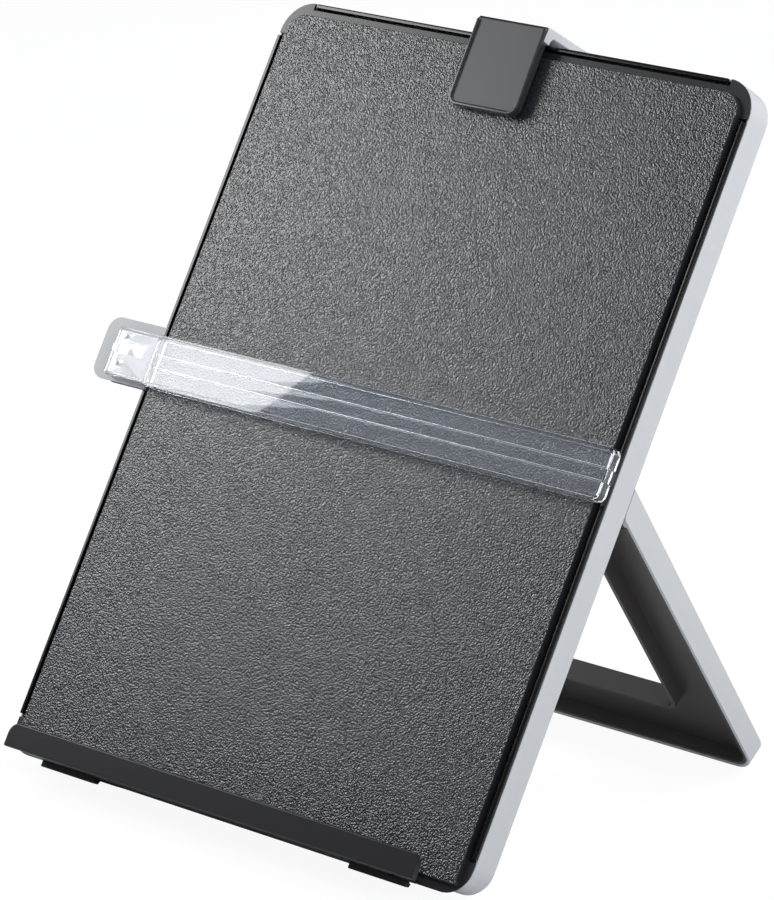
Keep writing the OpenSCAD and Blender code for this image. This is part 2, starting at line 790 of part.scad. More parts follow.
module leg_shell() {
    color(silver) on_leg() difference() {
        intersection() {
            along_x(-half_w, half_w) leg_section(0);
            through_leg() leg_outline(0, -far);
        }
        difference() {
            union() {
                intersection() {
                    along_x(-half_w + leg_wall, half_w - leg_wall) leg_section(leg_wall);
                    box([-half_w, -far, -far], [half_w, window_top, leg_t]);
                }
                leg_tray(leg_wall, liner_top);
            }
            at_liner_screws()
                translate([0, 0, liner_boss_p + seat_gap]) cylinder(h = leg_t, r = shell_boss_r);
        }
        through_leg() window_outline(window_wall + seat_gap);
        hinge_notches(shell_notch);
        at_liner_screws()
            translate([0, 0, -cut]) cylinder(h = shell_pilot_p + cut, r = pilot_r);
    }
}

// The liner's knuckle and the arm that joins it to the tray's floor, in (y, z)
module knuckle_profile() {
    translate([axis_v, axis_p]) circle(knuckle_r);
    difference() {
        polygon([
            [axis_v - knuckle_r, axis_p], [axis_v + knuckle_r, axis_p],
            [axis_v + knuckle_r, knuckle_arm_p[0]], [axis_v + knuckle_arm_h, knuckle_arm_p[1]],
            [axis_v + knuckle_arm_h, leg_high], [axis_v - knuckle_r, leg_high],
        ]);
        behind_leg(leg_wall + seat_gap);
    }
}

module leg_liner() {
    outer = leg_wall + seat_gap;
    color(black) on_leg() difference() {
        union() {
            difference() {
                leg_tray(outer, liner_top + seat_gap, liner_front_p);
                difference() {
                    leg_tray(outer + liner_wall, liner_top + liner_wall);
                    through_leg() window_outline(window_wall);
                }
                hinge_notches(liner_notch);
            }
            intersection() {
                leg_tray(seat_gap, 0, 0);
                through_leg() window_outline(window_wall);
            }
            both_sides() along_x(hinge_x - knuckle_w / 2, hinge_x + knuckle_w / 2)
                knuckle_profile();
            at_liner_screws() translate([0, 0, liner_boss_p - liner_cap_t])
                cylinder(h = leg_t - leg_wall - liner_boss_p, r = liner_boss_r);
        }
        through_leg() window_outline(0);
        both_sides() along_x(hinge_x - knuckle_w, hinge_x + knuckle_w)
            translate([axis_v, axis_p]) circle(hinge_pin_r + pin_gap);
        at_liner_screws() {
            translate([0, 0, liner_boss_p]) cylinder(h = leg_t, r = shell_boss_r + seat_gap);
            translate([0, 0, -cut]) cylinder(h = leg_t, r = screw_hole_r);
        }
    }
}

module liner_screws() {
    color(steel) on_leg() at_liner_screws()
        translate([0, 0, liner_boss_p - liner_cap_t]) rotate([180, 0, 0])
            screw(liner_screw_h);
}

module leg_pads() {
    color(rubber) intersection() {
        on_leg() both_sides()
            box([leg_pad_right - leg_pad_w, leg_len, leg_pad_p[0]],
                [leg_pad_right, leg_len + far, leg_pad_p[1]]);
        above_table();
    }
}

// ---------------------------------------------------------------- clip

module clip_bracket() {
    color(black) on_board() difference() {
        union() {
            box([-clip_ear_x - clip_ear_t, clip_bracket_low, back_n - bracket_t],
                [clip_ear_x + clip_ear_t, clip_bracket_low + clip_bracket_h, back_n]);
            both_sides() along_x(clip_ear_x, clip_ear_x + clip_ear_t) {
                translate([clip_pin_y, clip_pin_n]) circle(clip_ear_r);
                polygon([
                    [clip_ear_low, back_n], [clip_ear_low, back_n - bracket_t],
                    [clip_pin_y - clip_ear_neck, clip_pin_n - clip_ear_neck],
                    [clip_pin_y + clip_ear_r, clip_pin_n],
                    [clip_pin_y + clip_ear_r, back_n],
                ]);
            }
        }
        along_x(-clip_w, clip_w)
            translate([clip_pin_y, clip_pin_n]) circle(clip_pin_r + pin_gap);
        at_clip_screws() translate([0, 0, -bracket_t - cut])
            cylinder(h = bracket_t + 2 * cut, r = screw_hole_r);
    }
}

module clip_bracket_screws() {
    color(steel) on_board() at_clip_screws()
        translate([0, 0, -bracket_t]) rotate([180, 0, 0]) screw(bracket_screw_h);
}

module clip_pin() {
    length = 2 * (clip_cheek_x + clip_cheek_t + pin_end);
    color(steel) on_board() translate([-length / 2, clip_pin_y, clip_pin_n]) rotate([0, 90, 0])
        cylinder(h = length, r = clip_pin_r);
}

// Point of the spring's wire, measured from the pin: a leg, the coil and another leg
function coil_point(a) = [
    coil_pitch * (a / 360 - coil_angle / 720), coil_r * cos(90 - a), coil_r * sin(90 - a),
];
function spring_path() = concat(
    [for (y = [-3:1:-1]) coil_point(0) + [0, y * spring_leg_step, 0]],
    [for (a = [0:coil_step:coil_angle]) coil_point(a)],
    [for (y = [-1:-1:-3]) coil_point(coil_angle) + [0, y * spring_leg_step, 0]]
);
function unit(v) = v / norm(v);
// Ring of points round the wire at one point of its path
function wire_ring(path, i, r, sides) =
    let (last = len(path) - 1)
    let (t = unit(path[min(i + 1, last)] - path[max(i - 1, 0)]))
    let (out = [0, path[i].y, path[i].z])
    let (n = unit(out - (out * t) * t))
    let (b = cross(t, n))
    [for (k = [0:sides - 1]) path[i] + r * (cos(360 * k / sides) * n + sin(360 * k / sides) * b)];

// Round wire along a path
module wire(path, r, sides = 8) {
    rings = len(path);
    points = [for (i = [0:rings - 1]) each wire_ring(path, i, r, sides)];
    start = [for (k = [0:sides - 1]) k];
    end = [for (k = [sides - 1:-1:0]) (rings - 1) * sides + k];
    walls = [for (i = [0:rings - 2], k = [0:sides - 1])
        let (j = (k + 1) % sides)
        each [
            [i * sides + k, (i + 1) * sides + k, (i + 1) * sides + j],
            [i * sides + k, (i + 1) * sides + j, i * sides + j],
        ]];
    polyhedron(points, concat([start, end], walls), convexity = 10);
}

module clip_spring() {
    color(steel) on_board() translate([0, clip_pin_y, clip_pin_n])
        wire(spring_path(), spring_wire_r);
}

// Underside of the bridge at the height n
function bridge_y(n) = bridge_low + (down_n - n) * tan(bridge_slope);

// The arm from the side: a flange in front, the bridge and the finger lever behind, in (y, z)
module arm_section() {
    polygon([
        [down_low, down_n], [down_low, down_front],
        [bridge_y(down_front) + bridge_t - arm_edge, down_front],
        [bridge_y(down_front) + bridge_t, down_front - arm_edge],
        [bridge_y(bend_n) + bridge_t, bend_n], [bend_y, bend_n],
        [bend_y, lever_back], [lever_low + lever_t / 2, lever_back],
        [lever_low + lever_t / 2, lever_n], [bridge_y(lever_n) - arm_rear_edge, lever_n],
        [bridge_y(lever_n + arm_rear_edge), lever_n + arm_rear_edge], [bridge_low, down_n],
    ]);
    difference() {
        translate([arm_fillet_y, down_n - arm_fillet_r]) square(arm_fillet_r + lap);
        translate([arm_fillet_y, down_n - arm_fillet_r]) circle(arm_fillet_r);
    }
    translate([bend_y, bend_n]) circle(lever_r);
    translate([lever_low + lever_t / 2, (lever_n + lever_back) / 2]) circle(lever_t / 2);
}

// The arm from the front: full width above, rounded at the lever's end
module arm_front() {
    round_rect([-clip_half, lever_low], [clip_half, board_h + far], lever_end_r);
}

module clip_arm() {
    color(silver) on_board() difference() {
        union() {
            intersection() {
                along_x(-clip_half, clip_half) arm_section();
                translate([0, 0, lever_back - cut])
                    linear_extrude(down_front - lever_back + 2 * cut) arm_front();
            }
            both_sides() along_x(clip_cheek_x, clip_cheek_x + clip_cheek_t) {
                translate([clip_pin_y, clip_pin_n]) circle(clip_ear_r);
                polygon([
                    [clip_cheek_low, lever_n - lap], [clip_pin_y - clip_ear_r, clip_pin_n],
                    [clip_pin_y + clip_ear_r, clip_pin_n], [bend_y - lever_r, lever_n - lap],
                ]);
            }
        }
        along_x(-clip_w, clip_w)
            translate([clip_pin_y, clip_pin_n]) circle(clip_pin_r + pin_gap);
    }
}

module jaw_outline(inset) {
    round_rect([-clip_half + inset, jaw_low + inset], [clip_half - inset, board_h + far],
        jaw_r - inset);
}

// The jaw from the side: thick below, thin where it covers the arm's flange, in (y, z)
module jaw_section() {
    polygon([
        [jaw_low, jaw_back + jaw_edge], [jaw_low, jaw_n], [jaw_top - jaw_nose.x, jaw_n],
        [jaw_top, jaw_n - jaw_nose.y], [jaw_top, down_front + seat_gap],
        [down_low - seat_gap, down_front + seat_gap], [down_low - seat_gap, jaw_back],
        [jaw_low + jaw_edge, jaw_back],
    ]);
}

module clip_jaw() {
    color(black) on_board() difference() {
        intersection() {
            along_x(-clip_half, clip_half) jaw_section();
            linear_extrude(jaw_n + cut) jaw_outline(0);
        }
        translate([0, 0, jaw_n - jaw_recess]) linear_extrude(jaw_recess + cut)
            jaw_outline(jaw_rim_w);
        clip_pad_block(seat_gap);
    }
}

module clip_pad_block(gap) {
    box([-clip_half + jaw_r - gap, jaw_low + clip_pad_in - gap, plate_n + run_gap - gap],
        [clip_half - jaw_r + gap, jaw_low + clip_pad_in + clip_pad_h + gap,
            jaw_back + clip_pad_seat + gap]);
}

module clip_pad() {
    color(rubber) on_board() clip_pad_block(0);
}

// ---------------------------------------------------------------- line guide

module bar_outline(inset) {
    round_rect([bar_left + inset, bar_low + inset], [bar_right - inset, bar_high - inset],
        bar_r - inset);
    translate([bar_left + inset, bar_low + inset]) square([2 * bar_r, bar_h - 2 * inset]);
}

module box_outline(inset) {
    round_rect([box_left + inset, box_low + inset],
        [bar_left + bar_wall - inset, box_high - inset], box_r - inset);
}

module guide_bar() {
    color(clear) on_board() difference() {
        union() {
            translate([0, 0, bar_under]) linear_extrude(bar_top_n - bar_under) bar_outline(0);
            translate([0, 0, tab_top_n]) linear_extrude(bar_top_n - tab_top_n) box_outline(0);
        }
        difference() {
            translate([0, 0, bar_under - cut])
                linear_extrude(bar_top_n - bar_t - bar_under + cut) bar_outline(bar_wall);
            for (y = guide_ribs)
                box([bar_left, y - guide_rib_t / 2, bar_top_n - bar_t - guide_rib_h],
                    [bar_right, y + guide_rib_t / 2, bar_top_n]);
        }
        translate([0, 0, tab_top_n - cut])
            linear_extrude(bar_top_n - bar_t - tab_top_n + cut) intersection() {
                box_outline(box_wall);
                translate([-board_w, 0]) square([board_w + bar_left, board_h]);
            }
        box([shank_in - seat_gap, hook_low - seat_gap, bar_under - cut],
            [bar_right + cut, hook_low + hook_h + seat_gap, hook_n + seat_gap]);
        at_guide_pins() cylinder(h = bar_top_n + cut, r = pin_r + pin_gap);
    }
}

module at_guide_pins() {
    for (y = pin_ys) translate([pin_x, y, 0]) children();
}

module guide_tab() {
    color(frosted) on_board() translate([0, 0, tab_n]) difference() {
        linear_extrude(tab_t) intersection() {
            round_rect([tab_left, tab_low], [tab_right + far, tab_low + tab_h], tab_r);
            translate([tab_left, tab_low]) square([tab_right - tab_left, tab_h]);
        }
        translate([tab_window_x, tab_window_y, -cut])
            linear_extrude(tab_t + 2 * cut) square(tab_window);
        at_guide_pins() translate([0, 0, -cut]) cylinder(h = tab_t + 2 * cut, r = pin_r + pin_gap);
    }
}

// Carrier under the tab: a plate, a shank in the left slot and a toe under the panel's rim
module guide_slider() {
    shank_low = slider_low + slider_step;
    shank_high = slider_low + slider_h - slider_step;
    color(black) on_board() difference() {
        union() {
            translate([0, 0, slider_n]) linear_extrude(slider_t)
                round_rect([slider_left, slider_low], [-shank_in, slider_low + slider_h],
                    slider_r);
            box([-shank_out, shank_low, toe_low], [-shank_in, shank_high, tab_n]);
            box([-shank_out, shank_low, toe_low], [-shank_in + toe_reach, shank_high, toe_top]);
        }
        box([tab_window_x - tab_window_gap, tab_window_y - tab_window_gap, 0],
            [tab_window_x + tab_window.x + tab_window_gap,
                tab_window_y + tab_window.y + tab_window_gap, tab_n + cut]);
        at_guide_pins() cylinder(h = tab_n + cut, r = pin_r + pin_gap);
    }
}

// Hook under the bar's right end: a head in the end wall's notch, a shank and a toe
module guide_hook() {
    low = hook_low + hook_h / 2 - hook_foot_h / 2;
    color(black) on_board() {
        box([shank_in, hook_low, slider_n], [bar_right - seat_gap, hook_low + hook_h, hook_n]);
        box([shank_in, low, toe_low], [shank_out, low + hook_foot_h, hook_foot_n]);
        box([shank_in - toe_reach, low, toe_low], [shank_out, low + hook_foot_h, toe_top]);
    }
}

module guide_pins() {
    color(steel) on_board() at_guide_pins()
        translate([0, 0, slider_n]) cylinder(h = bar_top_n - slider_n, r = pin_r);
}

module guide_friction_pads() {
    color(rubber) on_board() {
        box([-shank_in + toe_pad_in, slider_low + 2 * slider_step, toe_top],
            [-shank_in + toe_reach - toe_pad_in, slider_low + slider_h - 2 * slider_step,
                toe_top + toe_pad_t]);
        box([shank_in - toe_reach + toe_pad_in, hook_low - hook_pad_step, toe_top],
            [shank_in - toe_pad_in, hook_low + hook_h + hook_pad_step, toe_top + toe_pad_t]);
    }
}

rear_shell();
front_panel();
side_rails();
top_rail();
panel_screws();
ledge();
ledge_screws();
ledge_feet();
hinge_brackets();
bracket_screws();
hinge_pins();
friction_washers();
leg_shell();
leg_liner();
liner_screws();
leg_pads();
clip_bracket();
clip_bracket_screws();
clip_pin();
clip_spring();
clip_arm();
clip_jaw();
clip_pad();
guide_bar();
guide_tab();
guide_slider();
guide_hook();
guide_pins();
guide_friction_pads();
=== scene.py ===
"""Finishes for a leaning desk copy holder.

It has a grained board, a sprung clip, a clear line guide and a folding leg.
"""

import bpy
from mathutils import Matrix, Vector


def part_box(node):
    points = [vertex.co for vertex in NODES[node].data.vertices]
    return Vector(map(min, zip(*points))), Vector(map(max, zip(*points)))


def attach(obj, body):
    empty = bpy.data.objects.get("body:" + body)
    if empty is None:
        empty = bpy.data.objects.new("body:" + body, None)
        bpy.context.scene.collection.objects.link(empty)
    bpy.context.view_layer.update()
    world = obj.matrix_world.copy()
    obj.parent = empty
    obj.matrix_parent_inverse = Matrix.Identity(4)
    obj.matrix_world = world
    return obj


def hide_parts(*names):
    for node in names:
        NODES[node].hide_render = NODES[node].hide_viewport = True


bl_info = {
    "name": "Desk copy holder",
    "version": (1, 0, 0),
    "blender": (4, 5, 0),
    "location": "3D View > Sidebar > Copy holder",
    "description": "Finishes for a desk copy holder with a sprung clip and a clear line guide",
    "category": "Object",
}

import math

import bmesh
import bpy
from mathutils import Matrix, Vector

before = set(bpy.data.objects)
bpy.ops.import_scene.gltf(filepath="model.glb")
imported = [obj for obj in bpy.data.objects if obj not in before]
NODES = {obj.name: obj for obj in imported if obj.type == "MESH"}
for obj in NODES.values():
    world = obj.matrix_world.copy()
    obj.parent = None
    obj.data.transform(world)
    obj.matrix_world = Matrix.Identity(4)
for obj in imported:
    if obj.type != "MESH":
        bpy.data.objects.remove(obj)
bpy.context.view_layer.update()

MM = 0.001

# Places repeated from the construction, in millimetres and degrees. The board is described
# flat: x across, y up its slope, z out of its face. The leg is flat too: y down from its top.
LEAN = 57.5
LEG_OPEN = 67.0
LEG_TOP = 157.1
BOARD_BACK = -13.0
PLATE_N = 3.0
CLIP_PIN = (326.0, -19.0)
TONGUE_X = 67.0
TONGUE_TAPER_N = -3.0
TONGUE_HALF_W = 8.5

# Sizes of the screws: head radius and height, thread's outer and core radius, its pitch, half
# the width of its ridge, and the half length, half width and depth of the cross recess.
SCREW_HEAD = (2.4, 1.2)
SCREW_CREST = 1.2
SCREW_CORE = 0.95
SCREW_PITCH = 0.8
RIDGE_HALF = 0.28
RIDGE_SINK = 0.05
SCREW_TIP = 1.5
CROSS = (1.4, 0.32, 0.7)
TWIST_STEP = 37.0

SMOOTH_ANGLE = 32.0
JAW_RECESS_N = 7.5

# Light: the studio's own, what glossy surfaces see less of it, and the white background.
STUDIO_LIGHT = 0.45
GLOSSY_DIMMING = -0.36
FLOOR_GLOW = 1.05
FLOOR_GLOW_SHARE = 0.88

# Camera, from the fit to the photograph: place in metres, turns in degrees and radians.
CAMERA_PLACE = (1.1453, -1.3323, 0.6944)
CAMERA_AZIMUTH = 40.276
CAMERA_DIP = 17.743
CAMERA_ROLL = -0.00145
CAMERA_LENS = 184.92
SENSOR = 36.0


def board_matrix():
    """From the flat board, in metres, to the holder as it stands on the table."""
    low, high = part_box("rear_shell")
    middle = (low.x + high.x) / 2
    pin_low, pin_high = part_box("clip_pin")
    pin_y, pin_z = (pin_low.y + pin_high.y) / 2, (pin_low.z + pin_high.z) / 2
    turn = Matrix.Rotation(math.radians(LEAN), 4, "X")
    there = turn @ Vector((0, CLIP_PIN[0] * MM, CLIP_PIN[1] * MM))
    return Matrix.Translation((middle, pin_y - there.y, pin_z - there.z)) @ turn


BOARD = board_matrix()
LEG = (
    BOARD
    @ Matrix.Translation((0, LEG_TOP * MM, BOARD_BACK * MM))
    @ Matrix.Rotation(math.radians(LEG_OPEN - 180), 4, "X")
)


# ------------------------------------------------------------------ colours and materials


def hex_colour(text, alpha=1.0):
    """An sRGB hex value as the linear colour that Blender's sockets take."""
    parts = [int(text[i : i + 2], 16) / 255 for i in (1, 3, 5)]
    linear = [c / 12.92 if c <= 0.04045 else ((c + 0.055) / 1.055) ** 2.4 for c in parts]
    return (*linear, alpha)


def new_material(name):
    """An empty material and its node tree."""
    material = bpy.data.materials.new(name)
    material.use_nodes = True
    material.node_tree.nodes.clear()
    return material, material.node_tree


def add_node(tree, kind, inputs=None, **settings):
    """Adds a node with its settings; inputs holds values or other nodes' output sockets."""
    node = tree.nodes.new(kind)
    for key, value in settings.items():
        setattr(node, key, value)
    for key, value in (inputs or {}).items():
        if isinstance(value, bpy.types.NodeSocket):
            tree.links.new(value, node.inputs[key])
        else:
            node.inputs[key].default_value = value
    return node


def per_metre(size_mm):
    """Texture scale, in cells per metre, for cells of that size."""
    return 1000.0 / size_mm


def seen_directly(tree, path):
    """One for rays from the camera, also through the clear bar; zero for rays that light things."""
    first = add_node(
        tree, "ShaderNodeMath", {0: path.outputs["Diffuse Depth"], 1: 0.5}, operation="LESS_THAN"
    )
    through = add_node(
        tree,
        "ShaderNodeMath",
        {0: path.outputs["Is Transmission Ray"], 1: first.outputs["Value"]},
        operation="MULTIPLY",
    )
    seen = add_node(
        tree,
        "ShaderNodeMath",
        {0: path.outputs["Is Camera Ray"], 1: through.outputs["Value"]},
        operation="MAXIMUM",
    )
    return seen.outputs["Value"]


def finish_material(tree, shader):
    """Joins the shader to the material's output."""
    add_node(tree, "ShaderNodeOutputMaterial", {"Surface": shader})


def moulded_plastic(name, colour, rough, grain_mm, grain_depth_mm, mottle=0.04, ior=1.5, **sockets):
    """Injection-moulded plastic: an even colour, a fine spark-eroded skin and slight mottling."""
    material, tree = new_material(name)
    place = add_node(tree, "ShaderNodeTexCoord").outputs["Object"]
    skin = add_node(
        tree,
        "ShaderNodeTexNoise",
        {"Vector": place, "Scale": per_metre(grain_mm), "Detail": 3.0, "Roughness": 0.6},
    )
    cloud = add_node(
        tree, "ShaderNodeTexNoise", {"Vector": place, "Scale": per_metre(45), "Detail": 2.0}
    )
    tone = add_node(
        tree,
        "ShaderNodeMapRange",
        {"Value": cloud.outputs["Fac"], "To Min": 1.0 - mottle, "To Max": 1.0 + mottle},
    )
    base = add_node(
        tree,
        "ShaderNodeVectorMath",
        {0: hex_colour(colour)[:3], "Scale": tone.outputs["Result"]},
        operation="SCALE",
    )
    gloss = add_node(
        tree,
        "ShaderNodeMapRange",
        {"Value": skin.outputs["Fac"], "To Min": rough - 0.04, "To Max": rough + 0.04},
    )
    bump = add_node(
        tree,
        "ShaderNodeBump",
        {"Height": skin.outputs["Fac"], "Strength": 1.0, "Distance": grain_depth_mm * MM},
    )
    shader = add_node(
        tree,
        "ShaderNodeBsdfPrincipled",
        {
            "Base Color": base.outputs["Vector"],
            "Roughness": gloss.outputs["Result"],
            "IOR": ior,
            "Normal": bump.outputs["Normal"],
            **sockets,
        },
    )
    finish_material(tree, shader.outputs["BSDF"])
    return material


def leather_grain():
    """Black ABS with a fine moulded grain of small soft pebbles."""
    material, tree = new_material("Black ABS, fine grain")
    place = add_node(tree, "ShaderNodeTexCoord").outputs["Object"]
    wander = add_node(
        tree, "ShaderNodeTexNoise", {"Vector": place, "Scale": per_metre(1.9), "Detail": 1.0}
    )
    bent = add_node(
        tree,
        "ShaderNodeVectorMath",
        {0: wander.outputs["Color"], 1: (0.0007, 0.0007, 0.0007), 2: place},
        operation="MULTIPLY_ADD",
    )
    pebbles = add_node(
        tree,
        "ShaderNodeTexVoronoi",
        {"Vector": bent.outputs["Vector"], "Scale": per_metre(0.77), "Smoothness": 0.4},
        feature="SMOOTH_F1",
    )
    ripple = add_node(
        tree,
        "ShaderNodeTexNoise",
        {"Vector": bent.outputs["Vector"], "Scale": per_metre(0.7), "Detail": 1.0},
    )
    height = add_node(
        tree,
        "ShaderNodeMath",
        {0: pebbles.outputs["Distance"], 1: -0.8, 2: ripple.outputs["Fac"]},
        operation="MULTIPLY_ADD",
    )
    bump = add_node(
        tree,
        "ShaderNodeBump",
        {"Height": height.outputs["Value"], "Strength": 1.0, "Distance": 0.26 * MM},
    )
    # Painted shade and highlight: the grain's valleys are coloured darker and its tops lighter.
    valley_shade = add_node(tree, "ShaderNodeValToRGB", {"Fac": height.outputs["Value"]})
    valley_shade.color_ramp.elements[0].position = 0.0
    valley_shade.color_ramp.elements[0].color = hex_colour("#1a1b1f")
    valley_shade.color_ramp.elements[1].position = 0.5
    valley_shade.color_ramp.elements[1].color = hex_colour("#373a40")
    shader = add_node(
        tree,
        "ShaderNodeBsdfPrincipled",
        {
            "Base Color": valley_shade.outputs["Color"],
            "Roughness": 0.28,
            "IOR": 1.52,
            "Specular IOR Level": 0.9,
            "Normal": bump.outputs["Normal"],
        },
    )
    finish_material(tree, shader.outputs["BSDF"])
    return material


def clear_acrylic():
    """Polished clear acrylic, with a faint blue cast in its thick edges."""
    material, tree = new_material("Clear acrylic, polished")
    place = add_node(tree, "ShaderNodeTexCoord").outputs["Object"]
    flow = add_node(
        tree, "ShaderNodeTexNoise", {"Vector": place, "Scale": per_metre(30), "Detail": 1.0}
    )
    bump = add_node(
        tree,
        "ShaderNodeBump",
        {"Height": flow.outputs["Fac"], "Strength": 0.3, "Distance": 0.05 * MM},
    )
    shader = add_node(
        tree,
        "ShaderNodeBsdfPrincipled",
        {
            "Base Color": hex_colour("#eef3fa"),
            "Roughness": 0.02,
            "IOR": 1.49,
            "Specular IOR Level": 0.35,
            "Transmission Weight": 1.0,
            "Normal": bump.outputs["Normal"],
        },
    )
    finish_material(tree, shader.outputs["BSDF"])
    return material


def frosted_plastic():
    """Grey polycarbonate with a frosted skin."""
    return moulded_plastic(
        "Polycarbonate, frosted grey", "#a9abae", 0.45, 0.6, 0.02, 0.03, 1.58
    )


def zinc_steel(name, colour, rough):
    """Zinc-plated or drawn steel: metal with a faint cloudy plating."""
    material, tree = new_material(name)
    place = add_node(tree, "ShaderNodeTexCoord").outputs["Object"]
    cloud = add_node(
        tree, "ShaderNodeTexNoise", {"Vector": place, "Scale": per_metre(1.2), "Detail": 3.0}
    )
    gloss = add_node(
        tree,
        "ShaderNodeMapRange",
        {"Value": cloud.outputs["Fac"], "To Min": rough - 0.08, "To Max": rough + 0.1},
    )
    shader = add_node(
        tree,
        "ShaderNodeBsdfPrincipled",
        {
            "Base Color": hex_colour(colour),
            "Metallic": 1.0,
            "Roughness": gloss.outputs["Result"],
        },
    )
    finish_material(tree, shader.outputs["BSDF"])
    return material


FINISHES = {}


def finishes():
    """All finishes, made once."""
    if FINISHES:
        return FINISHES
    FINISHES.update(
        silver=moulded_plastic("Silver-grey ABS, satin", "#c4c7ca", 0.38, 0.5, 0.012, 0.02),
        grain=leather_grain(),
        satin=moulded_plastic("Black ABS, satin", "#26272a", 0.3, 0.35, 0.006),
        strip=moulded_plastic("Black ABS, smooth strip", "#0d0d0e", 0.18, 0.3, 0.002),
        ledge=moulded_plastic("Charcoal ABS, fine matt", "#242427", 0.33, 0.4, 0.006,
            **{"Specular IOR Level": 0.35}),
        liner=moulded_plastic("Black ABS, matt inner", "#464342", 0.4, 0.5, 0.01),
        gloss=moulded_plastic("Black ABS, high gloss", "#2e2e31", 0.14, 2.0, 0.004),
        recess=moulded_plastic("Dark grey ABS, fine satin", "#444548", 0.4, 0.3, 0.006),
        clear=clear_acrylic(),
        frosted=frosted_plastic(),
        rubber=moulded_plastic("Black rubber", "#1e1e1f", 0.6, 0.3, 0.02, ior=1.52),
        zinc=zinc_steel("Steel, zinc plated", "#b9bcc0", 0.3),
        spring=zinc_steel("Spring steel, drawn", "#8d8f92", 0.25),
    )
    return FINISHES


# ------------------------------------------------------------------ modelling helpers


def only(obj):
    """Makes obj the only selected object, and the active one."""
    bpy.ops.object.select_all(action="DESELECT")
    obj.select_set(True)
    bpy.context.view_layer.objects.active = obj


def working_copy(node, name, place):
    """A merged copy of a construction solid, moved into the flat frame that it is shaped in."""
    source = NODES[node]
    only(source)
    bpy.ops.object.duplicate()
    copy = bpy.context.view_layer.objects.active
    copy.parent = None
    for key in [k for k in copy.keys() if k.startswith("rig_")]:
        del copy[key]
    copy.name = name
    copy.data.name = name
    copy.data.materials.clear()
    only(copy)
    copy.data.transform(place.inverted())
    bpy.ops.object.mode_set(mode="EDIT")
    bpy.ops.mesh.select_all(action="SELECT")
    bpy.ops.mesh.remove_doubles(threshold=0.002 * MM)
    bpy.ops.mesh.customdata_custom_splitnormals_clear()
    bpy.ops.mesh.dissolve_limited(angle_limit=math.radians(0.5))
    bpy.ops.object.mode_set(mode="OBJECT")
    return copy


def soften(obj, width_mm, segments=2, angle=40.0):
    """Rounds the sharp edges."""
    only(obj)
    bevel = obj.modifiers.new("Edges", "BEVEL")
    bevel.width = width_mm * MM
    bevel.segments = segments
    bevel.limit_method = "ANGLE"
    bevel.angle_limit = math.radians(angle)
    bevel.use_clamp_overlap = False
    bevel.miter_outer = "MITER_SHARP"
    bpy.ops.object.modifier_apply(modifier=bevel.name)


def paint(obj, chooser, *finish_names):
    """Gives each face the finish that chooser picks from its middle and normal."""
    made = finishes()
    for name in finish_names:
        obj.data.materials.append(made[name])
    for face in obj.data.polygons:
        face.material_index = chooser(face.center / MM, face.normal) if chooser else 0


def settle(obj, place, body, nodes):
    """Puts the finished piece in its place, smooths it and lets it ride on its body."""
    only(obj)
    bpy.ops.object.shade_smooth_by_angle(angle=math.radians(SMOOTH_ANGLE))
    obj.data.transform(place)
    obj.data.update()
    flat = obj.modifiers.new("Flat faces stay flat", "WEIGHTED_NORMAL")
    flat.keep_sharp = True
    bpy.ops.object.modifier_apply(modifier=flat.name)
    if nodes:
        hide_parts(*nodes)
    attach(obj, body)


def simple_piece(node, name, place, body, finish, edge_mm, segments=2):
    """A piece that only needs its edges rounded and its finish."""
    piece = working_copy(node, name, place)
    soften(piece, edge_mm, segments)
    paint(piece, None, finish)
    settle(piece, place, body, [node])


def islands(obj):
    """The corners of the box round each loose part of a mesh, in millimetres."""
    mesh = bmesh.new()
    mesh.from_mesh(obj.data)
    left = set(mesh.verts)
    boxes = []
    while left:
        reached = {left.pop()}
        front = list(reached)
        while front:
            for edge in front.pop().link_edges:
                for vert in edge.verts:
                    if vert not in reached:
                        reached.add(vert)
                        front.append(vert)
        left -= reached
        points = [vert.co / MM for vert in reached]
        low = Vector([min(point[i] for point in points) for i in range(3)])
        high = Vector([max(point[i] for point in points) for i in range(3)])
        boxes.append((low, high))
    mesh.free()
    return sorted(boxes, key=lambda box: tuple(box[0]))


def cylinder(radius_mm, low_mm, high_mm, vertices=32):
    """A cylinder along z between two heights."""
    bpy.ops.mesh.primitive_cylinder_add(
        vertices=vertices,
        radius=radius_mm * MM,
        depth=(high_mm - low_mm) * MM,
        location=(0, 0, (high_mm + low_mm) / 2 * MM),
    )
    made = bpy.context.view_layer.objects.active
    bpy.ops.object.transform_apply(location=True)
    return made


def carve(obj, cutter):
    """Cuts one mesh out of another."""
    only(obj)
    boolean = obj.modifiers.new("Cut", "BOOLEAN")
    boolean.operation = "DIFFERENCE"
    boolean.solver = "EXACT"
    boolean.object = cutter
    bpy.ops.object.modifier_apply(modifier=boolean.name)
    bpy.data.objects.remove(cutter)


def join(objects, name):
    """Joins meshes into one."""
    bpy.ops.object.select_all(action="DESELECT")
    for obj in objects:
        obj.select_set(True)
    bpy.context.view_layer.objects.active = objects[0]
    bpy.ops.object.join()
    objects[0].name = name
    objects[0].data.name = name
    return objects[0]


